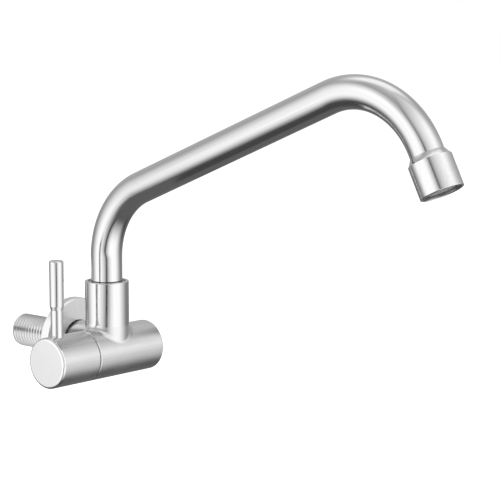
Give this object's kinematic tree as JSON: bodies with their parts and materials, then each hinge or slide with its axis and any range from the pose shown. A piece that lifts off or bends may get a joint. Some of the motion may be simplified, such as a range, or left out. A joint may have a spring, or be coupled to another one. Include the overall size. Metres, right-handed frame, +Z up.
{
  "type": "wall-mounted sink tap",
  "caption": "Wall-mounted steel sink tap: level valve body with quarter-turn lever handle, bent-tube swivel spout with aerator, threaded inlet tail and loose wall flange.",
  "frame": {"origin": "on the inlet's axis at the wall plane, where the flange's back and the first thread crest lie", "axes": "+Y along the inlet into the wall, -Y the way the spout reaches out, +Z up, handle at the -X end of the body"},
  "size_m": [0.0949, 0.3592, 0.2051],
  "materials": {
    "steel_satin": "satin brushed stainless steel",
    "steel_bright": "bright polished stainless steel",
    "steel_flange": "fine satin stainless steel",
    "steel_thread": "turned and threaded stainless steel",
    "brass": "machined brass",
    "ceramic": "lapped alumina",
    "rubber": "black rubber",
    "nylon": "grey nylon",
    "screw_steel": "plain stainless steel",
    "aerator_plastic": "moulded acetal",
    "aerator_metal": "turned stainless steel"
  },
  "bodies": {
    "valve": {"valve_body": "steel_satin", "inlet_tail": "steel_thread", "headwork_body": "brass", "land_o_ring": "rubber", "seat_seal": "rubber", "fixed_disc": "ceramic", "thrust_washer": "nylon", "guide_ring": "nylon", "glide_washer": "nylon", "mouth_bush": "nylon", "lock_screw": "screw_steel"},
    "handle": {"handle_drum": "steel_satin", "lever": "steel_bright", "drum_set_screw": "screw_steel", "spindle": "brass", "spindle_o_rings": "rubber", "spindle_clip": "screw_steel", "rotating_disc": "ceramic"},
    "spout": {"spout_tube": "steel_bright", "swivel_spigot": "brass", "swivel_o_rings": "rubber", "outlet_housing": "steel_bright", "aerator_gasket": "rubber", "inlet_screen": "aerator_metal", "flow_plate": "aerator_plastic", "aerator_insert": "aerator_plastic", "outlet_grid": "aerator_plastic", "aerator_shell": "aerator_metal"},
    "flange": {"wall_flange": "steel_flange", "grip_ring": "rubber"}
  },
  "joints": [
    {"name": "handle_turn", "type": "hinge", "parent": "valve", "child": "handle", "pos_m": [-0.0521, -0.05, 0], "axis": [1, 0, 0], "range_deg": [0, 90]},
    {"name": "spout_swivel", "type": "hinge", "parent": "valve", "child": "spout", "pos_m": [-0.017, -0.05, 0.0445], "axis": [0, 0, 1], "continuous": true},
    {"name": "flange_slide", "type": "slide", "parent": "valve", "child": "flange", "axis": [0, -1, 0], "range_m": [0, 0.026]}
  ]
}
